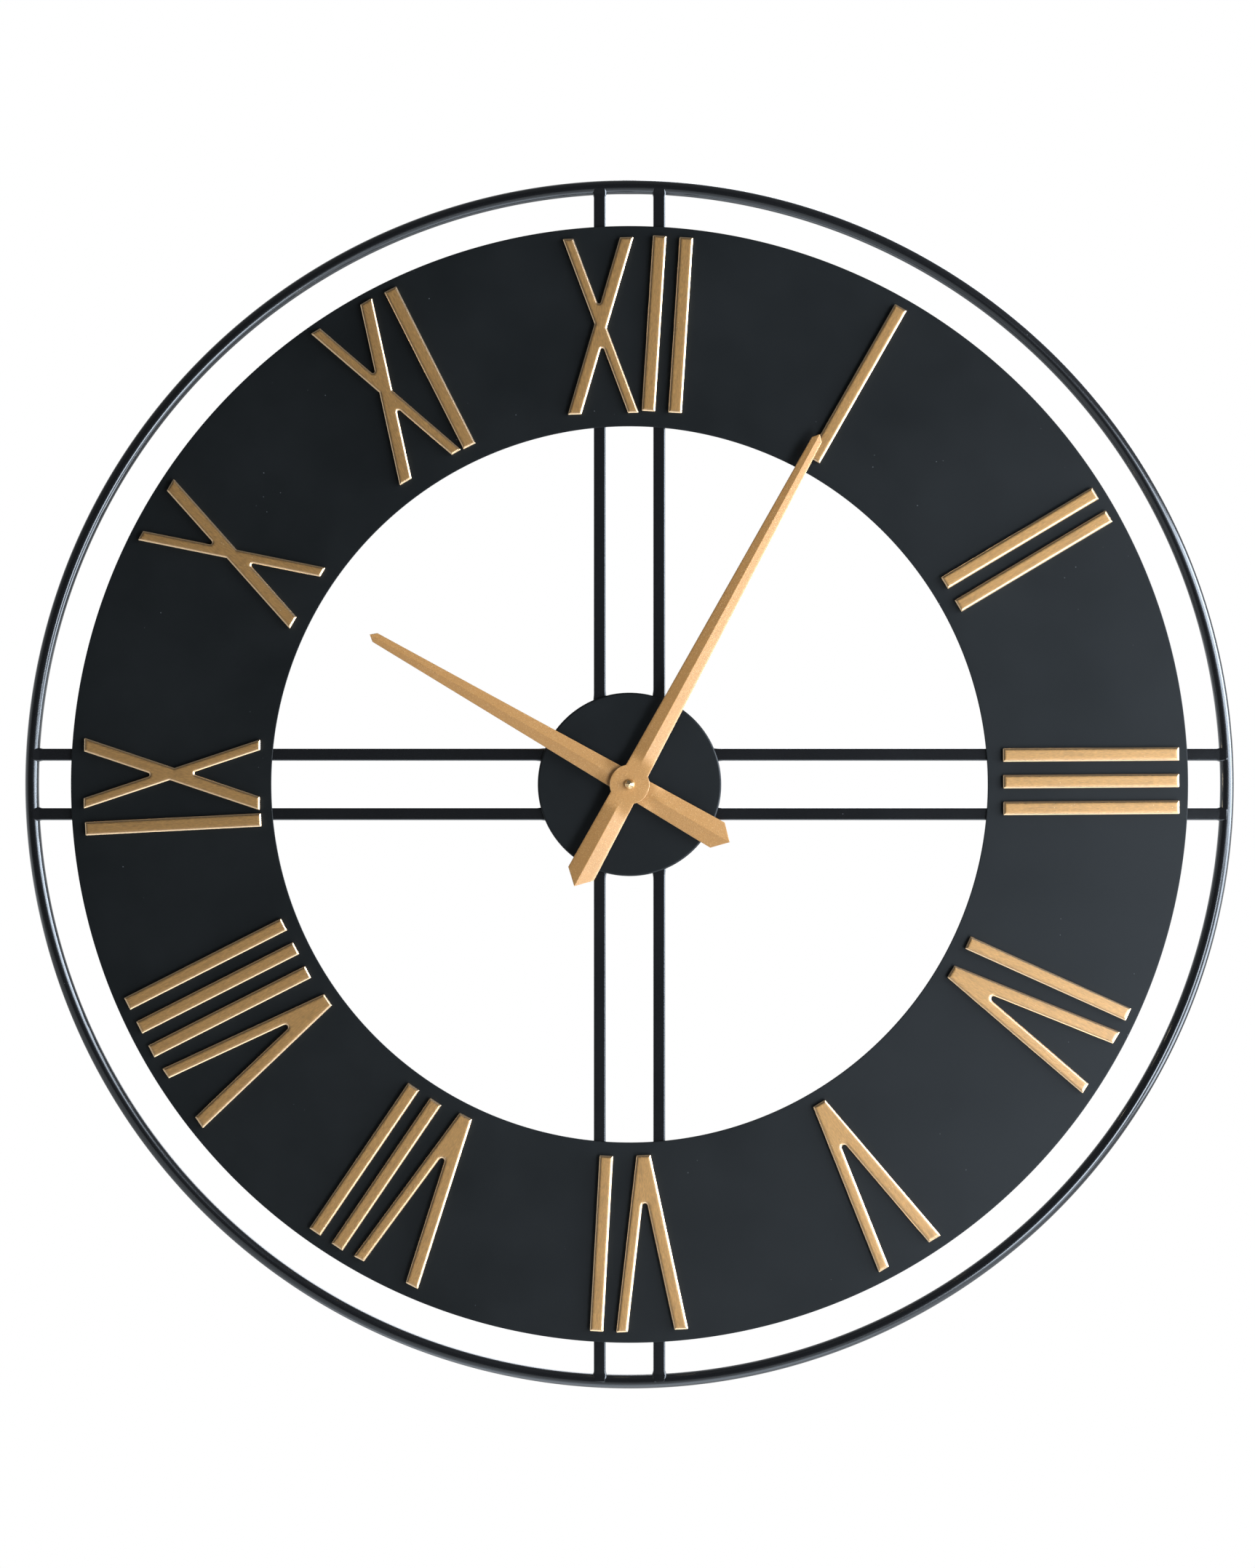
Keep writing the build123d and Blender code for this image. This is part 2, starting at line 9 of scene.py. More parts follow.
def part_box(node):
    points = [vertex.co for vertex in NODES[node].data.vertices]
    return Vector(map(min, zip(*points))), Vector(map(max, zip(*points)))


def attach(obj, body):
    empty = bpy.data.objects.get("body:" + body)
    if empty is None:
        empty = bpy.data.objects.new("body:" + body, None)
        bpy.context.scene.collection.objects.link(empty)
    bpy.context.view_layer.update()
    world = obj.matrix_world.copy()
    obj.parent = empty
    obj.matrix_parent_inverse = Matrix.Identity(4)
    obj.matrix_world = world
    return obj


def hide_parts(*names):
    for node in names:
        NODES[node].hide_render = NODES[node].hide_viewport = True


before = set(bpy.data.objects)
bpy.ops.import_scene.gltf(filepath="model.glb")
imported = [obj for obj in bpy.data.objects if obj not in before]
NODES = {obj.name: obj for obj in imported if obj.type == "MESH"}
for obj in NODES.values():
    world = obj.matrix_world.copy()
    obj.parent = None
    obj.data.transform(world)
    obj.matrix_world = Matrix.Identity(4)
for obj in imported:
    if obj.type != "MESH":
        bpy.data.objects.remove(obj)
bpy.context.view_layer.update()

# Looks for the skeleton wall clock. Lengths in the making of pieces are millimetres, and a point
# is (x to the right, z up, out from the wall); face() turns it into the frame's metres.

ROOT = "clock_body"


def face(x, z, out):
    return Vector((x, -out, z)) * 0.001


def box_mm(node):
    """A node's box as (x range, z range, levels out from the wall), in millimetres."""
    low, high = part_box(node)
    return (
        (low.x * 1000, high.x * 1000),
        (low.z * 1000, high.z * 1000),
        (-high.y * 1000, -low.y * 1000),
    )


def smooth(low, high, value):
    t = max(0.0, min(1.0, (value - low) / (high - low)))
    return t * t * (3 - 2 * t)


def turned(bearing):
    """Turns a piece drawn for twelve o'clock to a clock bearing, in degrees."""
    return Matrix.Rotation(radians(bearing), 4, "Y")


# ---------------------------------------------------------------- meshes and pieces
def skin(name, loops, closed=False):
    """A mesh through loops of equal length; closed joins last to first, or both get caps."""
    count = len(loops[0])
    verts = [v for loop in loops for v in loop]
    faces = []
    for i in range(len(loops) if closed else len(loops) - 1):
        a, b = i * count, (i + 1) % len(loops) * count
        for j in range(count):
            k = (j + 1) % count
            faces.append((a + j, a + k, b + k, b + j))
    if not closed:
        faces.append(tuple(range(count)))
        faces.append(tuple(len(verts) - count + j for j in range(count)))
    mesh = bpy.data.meshes.new(name)
    mesh.from_pydata(verts, [], faces)
    return outward(mesh)


def outward(mesh):
    work = bmesh.new()
    work.from_mesh(mesh)
    bmesh.ops.recalc_face_normals(work, faces=work.faces)
    work.to_mesh(mesh)
    work.free()
    return mesh


def lathe(name, profile, steps):
    """Turns a closed profile of (radius, out) about the arbor's axis."""
    loops = []
    for i in range(steps):
        angle = 2 * pi * i / steps
        loops.append([face(r * sin(angle), r * cos(angle), out) for r, out in profile])
    return skin(name, loops, closed=True)


def arc(cx, cy, radius, start, end, steps):
    """Points on an arc between two angles in degrees."""
    return [
        (
            cx + radius * cos(radians(start + (end - start) * i / steps)),
            cy + radius * sin(radians(start + (end - start) * i / steps)),
        )
        for i in range(steps + 1)
    ]


def piece(name, mesh, body, material, nodes=(), sharp=35, weighted=True):
    """Puts a mesh in the scene as a piece that rides on a body and stands for CAD nodes."""
    obj = bpy.data.objects.new(name, mesh)
    bpy.context.scene.collection.objects.link(obj)
    mesh.shade_smooth()
    mesh.set_sharp_from_angle(angle=radians(sharp))
    if weighted:
        normals = obj.modifiers.new("normals", "WEIGHTED_NORMAL")
        normals.keep_sharp = True
    mesh.materials.append(material)
    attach(obj, body)
    if nodes:
        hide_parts(*nodes)
    return obj


def attribute(mesh, name, values):
    """Stores one number for each vertex, for a material to read."""
    layer = mesh.attributes.new(name, "FLOAT", "POINT")
    layer.data.foreach_set("value", values)


# ---------------------------------------------------------------- material building
class Nodes:
    """Short calls for building a node tree."""

    def __init__(self, name):
        self.material = bpy.data.materials.new(name)
        self.material.use_nodes = True
        self.tree = self.material.node_tree
        self.tree.nodes.clear()
        self.shader = self.new("ShaderNodeBsdfPrincipled")
        output = self.new("ShaderNodeOutputMaterial")
        self.link(self.shader.outputs[0], output.inputs[0])
        self.place = self.new("ShaderNodeTexCoord").outputs["Object"]

    def new(self, kind, **settings):
        node = self.tree.nodes.new(kind)
        for key, value in settings.items():
            setattr(node, key, value)
        return node

    def link(self, source, target):
        self.tree.links.new(source, target)

    def fill(self, node, inputs):
        for key, value in inputs.items():
            if isinstance(value, bpy.types.NodeSocket):
                self.link(value, node.inputs[key])
            else:
                node.inputs[key].default_value = value

    def read(self, name):
        return self.new("ShaderNodeAttribute", attribute_name=name).outputs["Fac"]

    def stretched(self, scale, vector=None):
        mapping = self.new("ShaderNodeMapping")
        self.fill(mapping, {"Vector": vector or self.place, "Scale": scale})
        return mapping.outputs[0]

    def noise(self, scale, detail=3.0, rough=0.55, vector=None, warp=0.0):
        node = self.new("ShaderNodeTexNoise")
        inputs = {"Scale": scale, "Detail": detail, "Roughness": rough, "Distortion": warp}
        self.fill(node, {**inputs, "Vector": vector or self.place})
        return node.outputs["Fac"]

    def cells(self, scale, kind="F1", out="Distance"):
        node = self.new("ShaderNodeTexVoronoi", feature=kind)
        self.fill(node, {"Scale": scale, "Vector": self.place})
        return node.outputs[out]

    def map(self, value, low, high, new_low=0.0, new_high=1.0):
        node = self.new("ShaderNodeMapRange")
        inputs = {"Value": value, "From Min": low, "From Max": high}
        self.fill(node, {**inputs, "To Min": new_low, "To Max": new_high})
        return node.outputs[0]

    def math(self, operation, a, b):
        node = self.new("ShaderNodeMath", operation=operation)
        self.fill(node, {0: a, 1: b})
        return node.outputs[0]

    def mix(self, factor, a, b):
        """Mixes two colours by a factor that comes from a node."""
        node = self.new("ShaderNodeMix", data_type="RGBA")
        inputs = [s for s in node.inputs if s.enabled]
        for socket, value in zip(inputs, (factor, a, b)):
            if isinstance(value, tuple):
                socket.default_value = (*value, 1.0)
            else:
                self.link(value, socket)
        return [s for s in node.outputs if s.enabled][0]

    def bump(self, height, distance, strength=1.0, under=None):
        node = self.new("ShaderNodeBump")
        self.fill(node, {"Height": height, "Distance": distance, "Strength": strength})
        if under:
            self.link(under, node.inputs["Normal"])
        return node.outputs[0]

    def edge_mask(self, radius, low, high):
        """1 on edges and 0 on flats, from how far a rounded normal leans from the true one."""
        rounded = self.new("ShaderNodeBevel", samples=4)
        rounded.inputs["Radius"].default_value = radius
        true = self.new("ShaderNodeNewGeometry").outputs["Normal"]
        dot = self.new("ShaderNodeVectorMath", operation="DOT_PRODUCT")
        self.fill(dot, {0: rounded.outputs[0], 1: true})
        return self.map(dot.outputs["Value"], high, low)

    def finish(self, color, roughness, normal=None, **fixed):
        inputs = {"Base Color": color, "Roughness": roughness}
        if normal:
            inputs["Normal"] = normal
        self.fill(self.shader, {**inputs, **fixed})
        return self.material


# ---------------------------------------------------------------- materials
def black_paint(name, dark, pale, low, high, tooth, mirror):
    """Powder coat: faint orange peel, dust specks, thin paint on the sharp edges.

    low and high are its roughness, tooth the depth of its texture, mirror its reflectance.
    """
    n = Nodes(name)
    patches = n.map(n.noise(9, 4), 0.3, 0.7)
    color = n.mix(patches, dark, pale)
    edge = n.math("MULTIPLY", n.edge_mask(0.0005, 0.8, 0.99), n.map(n.noise(260, 3), 0.42, 0.7))
    color = n.mix(edge, color, (0.020, 0.019, 0.018))
    speck = n.map(n.cells(170), 0.052, 0.035)
    chance = n.map(n.noise(37, 1), 0.60, 0.64)
    color = n.mix(n.math("MULTIPLY", speck, chance), color, (0.10, 0.11, 0.12))
    rough = n.map(n.noise(24, 4), 0.3, 0.7, low, high)
    peel = n.bump(n.noise(620, 2), 0.00002, 0.5 * tooth)
    grit = n.bump(n.noise(3800, 1), 0.000008, 0.35 * tooth, under=peel)
    fixed = {"Specular IOR Level": mirror, "Specular Tint": (0.90, 0.985, 1.05, 1.0)}
    return n.finish(color, rough, grit, **fixed)


def brushed_gold():
    """Hand-brushed antique gold: fine strokes along each letter, brown patina, and a painted
    highlight: pale colour on the sides and lower shoulders.
    """
    n = Nodes("brushed_gold")
    grain = n.new("ShaderNodeUVMap", uv_map="grain").outputs[0]
    fine = n.noise(1.0, 3, 0.6, n.stretched((420, 2600, 1), grain), 0.3)
    broad = n.noise(1.0, 4, 0.6, n.stretched((40, 360, 1), grain), 0.8)
    mottle = n.noise(110, 5, 0.65, warp=0.6)
    shoulder = n.read("shoulder")
    tone = n.mix(n.map(fine, 0.32, 0.68), (0.50, 0.258, 0.066), (0.76, 0.435, 0.128))
    streak = n.math("MULTIPLY", n.map(broad, 0.48, 0.68), n.map(mottle, 0.42, 0.58))
    worn = n.math("MULTIPLY", streak, n.map(shoulder, 0.0, 0.6, 0.40, 0.0))
    color = n.mix(worn, tone, (0.26, 0.130, 0.034))
    # painted highlight: the sides and the foot of the shoulder are turned pale, standing in for the
    # light the letters' edges catch
    color = n.mix(n.map(shoulder, 0.70, 1.0, 0.0, 0.55), color, (1.0, 0.76, 0.44))
    pits = n.math("MULTIPLY", n.map(n.cells(420), 0.09, 0.05), n.map(n.noise(70, 1), 0.56, 0.6))
    color = n.mix(pits, color, (0.98, 0.86, 0.60))
    rough = n.math("ADD", n.map(fine, 0.2, 0.8, 0.42, 0.54), n.math("MULTIPLY", worn, 0.10))
    rough = n.math("SUBTRACT", rough, n.map(shoulder, 0.1, 0.8, 0.0, 0.26))
    lines = n.bump(fine, 0.00003, 0.30)
    dents = n.bump(mottle, 0.00012, 0.22, under=lines)
    lacquer = {"Coat Weight": 1.0, "Coat Roughness": 0.28, "Coat IOR": 2.5}
    return n.finish(color, rough, dents, Metallic=0.92, **lacquer)


def gold_paint(name, base, glint):
    """Sprayed metallic gold: fine flakes with painted glints for their sparkle, a slightly pebbled
    coat, and a painted highlight along the cut edges.
    """
    n = Nodes(name)
    flakes = n.noise(5200, 2, 0.7)
    grains = n.cells(4300, out="Color")
    spread = n.new("ShaderNodeSeparateColor")
    n.link(grains, spread.inputs[0])
    cloud = n.noise(55, 4)
    color = n.mix(n.map(flakes, 0.3, 0.7), base, glint)
    dark = tuple(0.72 * c for c in base)
    color = n.mix(n.map(spread.outputs[0], 0.72, 1.0, 0.0, 0.55), color, dark)
    # painted glints: pale specks in the colour stand in for flakes catching the light
    spark = n.map(spread.outputs[1], 0.93, 0.98)
    color = n.mix(n.math("MULTIPLY", spark, 0.5), color, (1.0, 0.80, 0.50))
    color = n.mix(n.map(cloud, 0.35, 0.75, 0.0, 0.22), color, tuple(0.8 * c for c in base))
    edge = n.edge_mask(0.00025, 0.75, 0.98)
    # painted highlight: the colour turns pale along the cut edges, standing in for the light they
    # catch
    color = n.mix(n.math("MULTIPLY", edge, 0.7), color, (1.0, 0.84, 0.58))
    rough = n.map(spread.outputs[2], 0.0, 1.0, 0.63, 0.77)
    rough = n.math("SUBTRACT", rough, n.math("MULTIPLY", edge, 0.36))
    pebble = n.bump(flakes, 0.00003, 0.5)
    coat = n.bump(n.noise(900, 2), 0.00004, 0.25, under=pebble)
    lacquer = {"Coat Weight": 1.0, "Coat Roughness": 0.36, "Coat IOR": 1.8}
    return n.finish(color, rough, coat, Metallic=0.92, **lacquer)


def brass():
    """Polished brass with turning marks and a faint haze."""
    n = Nodes("brass")
    turning = n.noise(1.0, 2, vector=n.stretched((900, 900, 9000)))
    haze = n.noise(420, 4)
    color = n.mix(n.map(haze, 0.35, 0.7), (0.88, 0.68, 0.40), (0.78, 0.56, 0.29))
    color = n.mix(n.edge_mask(0.0002, 0.8, 0.98), color, (0.95, 0.78, 0.48))
    rough = n.map(haze, 0.3, 0.7, 0.12, 0.24)
    return n.finish(color, rough, n.bump(turning, 0.00001, 0.3), Metallic=1.0)


def plastic(name, low, high, rough, grain, wear):
    """Moulded plastic: spark-eroded texture, slight shine variation, rubbed edges."""
    n = Nodes(name)
    color = n.mix(n.map(n.noise(90, 4), 0.3, 0.7), low, high)
    rub = n.math("MULTIPLY", n.edge_mask(0.0003, 0.8, 0.98), n.map(n.noise(900, 2), 0.4, 0.65))
    color = n.mix(n.math("MULTIPLY", rub, 0.6), color, wear)
    shine = n.map(n.noise(160, 3), 0.3, 0.7, rough - 0.05, rough + 0.06)
    tooth = n.bump(n.noise(grain, 3, 0.6), 0.00004, 0.45)
    flow = n.bump(n.noise(45, 1), 0.0001, 0.12, under=tooth)
    return n.finish(color, shine, flow)


def metal(name, low, high, rough, streak=(700, 700, 5000)):
    """Plain metal with fine machining lines, dull patches and bright edges."""
    n = Nodes(name)
    lines = n.noise(1.0, 3, vector=n.stretched(streak))
    patch = n.noise(240, 4)
    color = n.mix(n.map(patch, 0.3, 0.7), low, high)
    color = n.mix(n.edge_mask(0.0002, 0.8, 0.98), color, tuple(min(1.0, 1.35 * c) for c in high))
    shine = n.map(patch, 0.3, 0.7, rough - 0.06, rough + 0.08)
    return n.finish(color, shine, n.bump(lines, 0.00001, 0.35), Metallic=1.0)


def copper_wire():
    """Fine enamelled wire wound side by side along the coil."""
    n = Nodes("copper")
    wave = n.new("ShaderNodeTexWave", wave_type="BANDS", bands_direction="X")
    n.fill(wave, {"Vector": n.place, "Scale": 1100.0, "Distortion": 1.2, "Detail": 1.0})
    turns = wave.outputs["Fac"]
    # painted shade and highlight: the colour runs from dark in the grooves between turns to bright on
    # the turns' crests
    color = n.mix(turns, (0.20, 0.055, 0.022), (0.66, 0.27, 0.12))
    color = n.mix(n.map(n.noise(700, 3), 0.45, 0.75, 0.0, 0.5), color, (0.42, 0.13, 0.05))
    rough = n.map(n.noise(400, 2), 0.3, 0.7, 0.22, 0.34)
    return n.finish(color, rough, n.bump(turns, 0.0001, 0.6), Metallic=0.9)


def solder_mask():
    """Green circuit board: laminate weave under the mask, copper showing at the edges."""
    n = Nodes("board")
    weave = n.cells(900, kind="SMOOTH_F1")
    color = n.mix(n.map(weave, 0.1, 0.8), (0.012, 0.105, 0.042), (0.020, 0.150, 0.062))
    color = n.mix(n.edge_mask(0.0003, 0.8, 0.98), color, (0.30, 0.27, 0.16))
    rough = n.map(n.noise(300, 2), 0.3, 0.7, 0.25, 0.38)
    return n.finish(color, rough, n.bump(weave, 0.00003, 0.4))


def pale_floor():
    n = Nodes("pale_floor")
    color = n.mix(n.map(n.noise(3, 3), 0.3, 0.7), (0.80, 0.80, 0.79), (0.84, 0.84, 0.83))
    fixed = {"Emission Color": (1.0, 1.0, 0.99, 1.0), "Emission Strength": 0.25}
    return n.finish(color, n.map(n.noise(12, 2), 0.3, 0.7, 0.6, 0.7), **fixed)


SHEET_TONES = (0.0011, 0.0020, 0.0022), (0.0016, 0.0027, 0.0030)
ROD_TONES = (0.0055, 0.0058, 0.0066), (0.0075, 0.0078, 0.0088)
BLACK = black_paint("black_paint", *SHEET_TONES, 0.40, 0.47, tooth=1.0, mirror=0.42)
ROD_BLACK = black_paint("black_paint_on_rod", *ROD_TONES, 0.16, 0.21, tooth=0.06, mirror=1.0)
GOLD = brushed_gold()
HAND_GOLD = gold_paint("gold_paint", (0.56, 0.300, 0.086), (0.71, 0.415, 0.148))
BRASS = brass()
CASE_BLACK = plastic(
    "black_plastic", (0.018, 0.018, 0.019), (0.026, 0.026, 0.027),
    0.46, 2600, (0.07, 0.07, 0.07),
)
WHITE = plastic(
    "white_plastic", (0.66, 0.64, 0.57), (0.72, 0.70, 0.63),
    0.38, 1500, (0.80, 0.78, 0.72),
)
RUBBER = plastic(
    "rubber", (0.016, 0.016, 0.016), (0.028, 0.027, 0.026),
    0.80, 1900, (0.06, 0.06, 0.058),
)
EPOXY = plastic(
    "epoxy", (0.010, 0.010, 0.011), (0.016, 0.016, 0.017),
    0.22, 500, (0.04, 0.04, 0.04),
)
SLEEVE = plastic(
    "cell_sleeve", (0.055, 0.075, 0.10), (0.070, 0.092, 0.12),
    0.28, 700, (0.16, 0.18, 0.20),
)
STEEL = metal("steel", (0.46, 0.46, 0.47), (0.60, 0.60, 0.61), 0.30)
MAGNET = metal("magnet", (0.20, 0.20, 0.21), (0.28, 0.28, 0.29), 0.40)
COPPER = copper_wire()
BOARD = solder_mask()


# ---------------------------------------------------------------- frame pieces
RIM_X, _, RIM_LEVELS = box_mm("outer_ring")
ROD_R = (RIM_LEVELS[1] - RIM_LEVELS[0]) / 2
RIM_LEVEL = (RIM_LEVELS[0] + RIM_LEVELS[1]) / 2
RIM_R = RIM_X[1] - ROD_R
# how far the rod and a bar lie under the CAD's surface, which leaves room for their welds
ROD_SUNK, BAR_SUNK = 0.06, 0.02


def rim():
    """The rod bent to a ring, a touch uneven, with the dressed butt weld at the top."""
    loops = []
    steps, section, bead = 720, 36, 0.05
    for i in range(steps):
        bearing = 360 * i / steps
        angle = radians(bearing)
        from_top = min(bearing, 360 - bearing)
        weld = bead * (1 - smooth(0.25, 0.9, from_top))
        loop = []
        for j in range(section):
            lean = 2 * pi * j / section
            lump = 0.04 * noise.noise(Vector((bearing * 4, cos(lean) * 1.5, sin(lean) * 1.5)))
            radius = ROD_R - ROD_SUNK + weld * (1 + 12 * lump)
            r = RIM_R - ROD_SUNK / 2 + radius * cos(lean)
            loop.append(face(r * sin(angle), r * cos(angle), RIM_LEVEL + radius * sin(lean)))
        loops.append(loop)
    mesh = skin("outer_ring_rod", loops, closed=True)
    piece("outer_ring_rod", mesh, ROOT, ROD_BLACK, ["outer_ring"], weighted=False)


HUB_X, _, HUB_LEVELS = box_mm("hub_cup")
HUB_R = HUB_X[1]
CUP_FACE = HUB_LEVELS[1]
CUP_SHEET = 1.2
THREAD_HOLE = 4.1


def hub():
    """The pressed cup: rounded front edge, thin wall, a hole for the movement's thread."""
    bend, lip = 0.8, 0.12
    profile = [(THREAD_HOLE, CUP_FACE - lip), (THREAD_HOLE + lip, CUP_FACE)]
    profile += [(HUB_R - bend - 0.4, CUP_FACE)]
    profile += arc(HUB_R - bend, CUP_FACE - bend, bend, 90, 0, 7)
    profile += [(HUB_R, CUP_FACE - bend - 0.5), (HUB_R, lip), (HUB_R - lip, 0)]
    profile += [(HUB_R - CUP_SHEET + lip, 0), (HUB_R - CUP_SHEET, lip)]
    inner = CUP_FACE - CUP_SHEET
    profile += [(HUB_R - CUP_SHEET, inner - 0.5)]
    profile += arc(HUB_R - CUP_SHEET - 0.4, inner - 0.4, 0.4, 0, 90, 4)
    profile += [(HUB_R - CUP_SHEET - 1.0, inner)]
    profile += [(THREAD_HOLE + lip, inner), (THREAD_HOLE, inner + lip)]
    mesh = lathe("hub_cup_pressing", profile, 256)
    piece("hub_cup_pressing", mesh, ROOT, BLACK, ["hub_cup"])


DIAL_X, _, DIAL_LEVELS = box_mm("dial_ring")


def dial():
    """The laser-cut ring: flat faces and slightly broken edges."""
    outer = DIAL_X[1]
    verts = NODES["dial_ring"].data.vertices
    inner = min(Vector((v.co.x, v.co.z)).length for v in verts) * 1000
    low, high = DIAL_LEVELS
    cut, margin = 0.16, 0.6
    profile = [(inner, low + cut), (inner, high - cut)]
    profile += [(inner + cut * 0.4, high - cut * 0.3), (inner + cut, high)]
    profile += [(inner + margin, high), (outer - margin, high)]
    profile += [(outer - cut, high), (outer - cut * 0.4, high - cut * 0.3), (outer, high - cut)]
    profile += [(outer, low + cut), (outer - cut, low), (inner + cut, low)]
    mesh = lathe("dial_ring_sheet", profile, 720)
    piece("dial_ring_sheet", mesh, ROOT, BLACK, ["dial_ring"])


def section_of(across, deep, corner, steps=4):
    """A rounded rectangle about (0, 0), from half sizes, as (across, out) points."""
    points = []
    for cx, cy, start in ((1, 1, 0), (-1, 1, 90), (-1, -1, 180), (1, -1, 270)):
        points += arc(cx * (across - corner), cy * (deep - corner), corner, start, start + 90, steps)
    return points


# how far each weld swells the bar, and how far along it
HUB_FILLET, HUB_FILLET_REACH = 0.28, 2.6
RIM_FILLET, RIM_FILLET_REACH = 0.50, 1.8
BAR_CORNER = 0.75
LAP_END = 0.6  # how far the bar's end goes past the rod's middle


def spoke(name, bearing, side, seed):
    """A square bar with a weld fillet at the cup and a dressed weld up to the rod's crest."""
    draw = random.Random(seed)
    x_range, z_range, levels = box_mm(name)
    half = (levels[1] - levels[0]) / 2
    offset = side * abs(sum(x_range if bearing % 180 == 0 else z_range)) / 2
    wall = sqrt(HUB_R**2 - offset**2)
    inside = sqrt((RIM_R - ROD_R) ** 2 - offset**2)
    middle = sqrt(RIM_R**2 - offset**2)
    weld = [draw.uniform(0.75, 1.25) for _ in range(4)]
    stations = [wall + d for d in (-0.7, -0.3, 0.15, 0.4, 0.8, 1.3, 2.0, 3.0, 4.5)]
    stations += [wall + (inside - wall) * i / 14 for i in range(1, 14)]
    stations += [inside - d for d in (4.0, 2.8, 2.0, 1.4, 0.9, 0.5, 0.2)]
    end = middle + LAP_END
    stations += [inside + (end - inside) * i / 10 for i in range(11)]
    loops = []
    for along in stations:
        past_hub = along - wall
        hub_flare = HUB_FILLET * weld[0] * (1 - smooth(0, HUB_FILLET_REACH * weld[1], past_hub))
        before_rim = inside + 0.3 - along
        rim_flare = RIM_FILLET * weld[2] * (1 - smooth(0, RIM_FILLET_REACH * weld[3], before_rim))
        flare = hub_flare + rim_flare * (1 - smooth(inside, end, along))
        across, deep = half - BAR_SUNK + flare, half - BAR_SUNK
        loop = []
        for px, py in section_of(across, deep, BAR_CORNER + 0.5 * flare):
            lump = noise.noise(Vector((px * 0.9 + seed * 7, py * 0.9, along * 0.8))) * 0.22 * flare
            from_rod = RIM_R - Vector((offset + px, along)).length
            if 0 <= from_rod < ROD_R:
                py *= 1 + (ROD_R + BAR_SUNK - half) * (1 - from_rod / ROD_R) / half
            elif from_rod < 0:
                crest = sqrt(ROD_R**2 - from_rod**2) + BAR_SUNK
                py *= (crest - 0.5 * smooth(0, LAP_END, -from_rod)) / half
            bulge = sqrt(HUB_R**2 - (offset + px) ** 2) - wall
            follow = bulge * (1 - smooth(1.0, 9.0, past_hub))
            loop.append((px + lump * (1 if px > 0 else -1), py, along + follow))
        loops.append([face(offset + px, y, RIM_LEVEL + py) for px, py, y in loop])
    mesh = skin(name + "_bar", loops)
    mesh.transform(turned(bearing))
    piece(name + "_bar", mesh, ROOT, ROD_BLACK, [name], sharp=50)


SPOKES = (
    ("spoke_top_left", 0, -1),
    ("spoke_top_right", 0, 1),
    ("spoke_right_upper", 90, -1),
    ("spoke_right_lower", 90, 1),
    ("spoke_bottom_right", 180, -1),
    ("spoke_bottom_left", 180, 1),
    ("spoke_left_lower", 270, -1),
    ("spoke_left_upper", 270, 1),
)


# ---------------------------------------------------------------- numerals
LETTER_HALF = 43.5
LETTER_PITCH = 13.2
NUMERAL_R = 228.0
SHOULDER = 1.2  # how far in it reaches
SHOULDER_TILT = 50  # its slope where it leaves the side, in degrees
CROWN = 0.03  # how much higher the face is than the shoulder
FACE_INSET = 1.85  # how far in the face is crowned
# each bar's x at the foot, x at the head, and width
LETTER_BARS = {
    "I": ((0.0, 0.0, 6.6),),
    "V": ((0.0, -14.4, 6.7), (0.7, 15.0, 5.6)),
    "X": ((-14.2, 14.2, 6.7), (14.9, -14.9, 5.2)),
}
CROTCH_R = {"V": 1.4, "X": 1.0}
# each group's letters, clock bearing, lean in degrees, and how much further out it is
NUMERALS = {
    1: (("I", 29.6, 0.1, 0.2),),
    2: (("II", 59.4, -0.2, 0.4),),
    3: (("III", 89.6, 0.0, 0.5),),
    4: (("I", 114.9, -0.7, 0.4), ("V", 120.4, 0.9, -0.4)),
    5: (("V", 149.2, -0.2, -0.8),),
    6: (("V", 177.7, -0.5, -0.8), ("I", 183.5, -0.3, -0.3)),
    7: (("V", 206.4, 0.7, -1.4), ("II", 213.6, 0.6, -0.7)),
    8: (("V", 234.7, 1.1, -1.1), ("III", 243.7, -0.6, -0.6)),
    9: (("I", 265.0, 2.1, -1.3), ("X", 271.3, -0.8, -1.5)),
    10: (("X", 300.1, 0.2, -0.4),),
    11: (("X", 328.2, 1.4, 0.8), ("I", 334.4, -1.2, 0.7)),
    12: (("X", 356.4, 1.9, -0.5), ("II", 4.7, -1.0, 0.6)),
}


def bar_edge(bar, side, y):
    """The x of a letter bar's edge at height y."""
    foot, head, width = bar
    return foot + (head - foot) * (y + LETTER_HALF) / (2 * LETTER_HALF) + side * width / 2


def crossing(bar_a, side_a, bar_b, side_b):
    """Where two bar edges meet."""
    low = bar_edge(bar_a, side_a, -LETTER_HALF) - bar_edge(bar_b, side_b, -LETTER_HALF)
    high = bar_edge(bar_a, side_a, LETTER_HALF) - bar_edge(bar_b, side_b, LETTER_HALF)
    y = -LETTER_HALF + 2 * LETTER_HALF * low / (low - high)
    return (bar_edge(bar_a, side_a, y), y)


